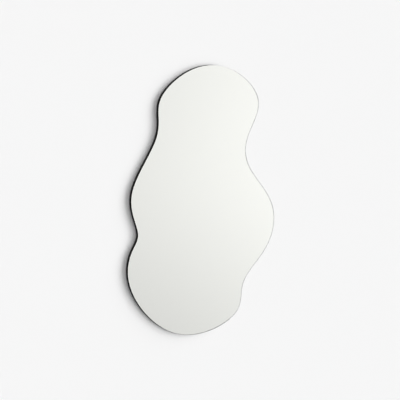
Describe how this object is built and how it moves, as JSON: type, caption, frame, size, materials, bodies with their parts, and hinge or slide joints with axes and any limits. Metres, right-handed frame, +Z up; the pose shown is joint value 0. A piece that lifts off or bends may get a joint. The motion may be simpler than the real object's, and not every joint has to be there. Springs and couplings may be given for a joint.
{
  "type": "wall mirror",
  "caption": "Frameless pebble-shaped wall mirror with a polished edge, bonded to a black backing panel that lifts on and off a hook rail screwed to the wall.",
  "frame": {"origin": "on the wall plane, midway between the wall rail's two screw slots", "axes": "+X to the viewer's right, +Y into the wall, +Z up; the glass faces -Y"},
  "size_m": [0.6002, 0.0223, 1.0001],
  "materials": {
    "mirror_glass": "clear float glass silvered on its back, edge polished all round",
    "mirror_coating": "silver layer with its protective paint",
    "safety_film": "smooth thin film",
    "edge_seal": "matt black sealant",
    "foam_tape": "closed-cell foam tape",
    "adhesive": "elastic adhesive, pressed flat",
    "black_board": "fibreboard painted satin black all round, bare in the routed pocket",
    "rail_aluminium": "mill-finish extrusion, brushed along its length",
    "plated_steel": "bright zinc plate",
    "bumper_rubber": "matt black rubber"
  },
  "bodies": {
    "wall_side": {"wall_rail": "rail_aluminium"},
    "mirror_side": {"mirror_glass": "mirror_glass", "mirror_coating": "mirror_coating", "safety_film": "safety_film", "edge_seal": "edge_seal", "tape_strip_1": "foam_tape", "tape_strip_2": "foam_tape", "tape_strip_3": "foam_tape", "tape_strip_4": "foam_tape", "tape_strip_5": "foam_tape", "tape_strip_6": "foam_tape", "adhesive_bead_1": "adhesive", "adhesive_bead_2": "adhesive", "adhesive_bead_3": "adhesive", "adhesive_bead_4": "adhesive", "adhesive_bead_5": "adhesive", "backing_panel": "black_board", "panel_rail": "rail_aluminium", "panel_rail_screws": "plated_steel", "upper_left_bumper": "bumper_rubber", "upper_right_bumper": "bumper_rubber", "lower_left_bumper": "bumper_rubber", "lower_right_bumper": "bumper_rubber"}
  },
  "joints": [
    {"name": "lift_off", "type": "slide", "parent": "wall_side", "child": "mirror_side", "axis": [0, 0, 1], "range_m": [0, 0.012]}
  ]
}
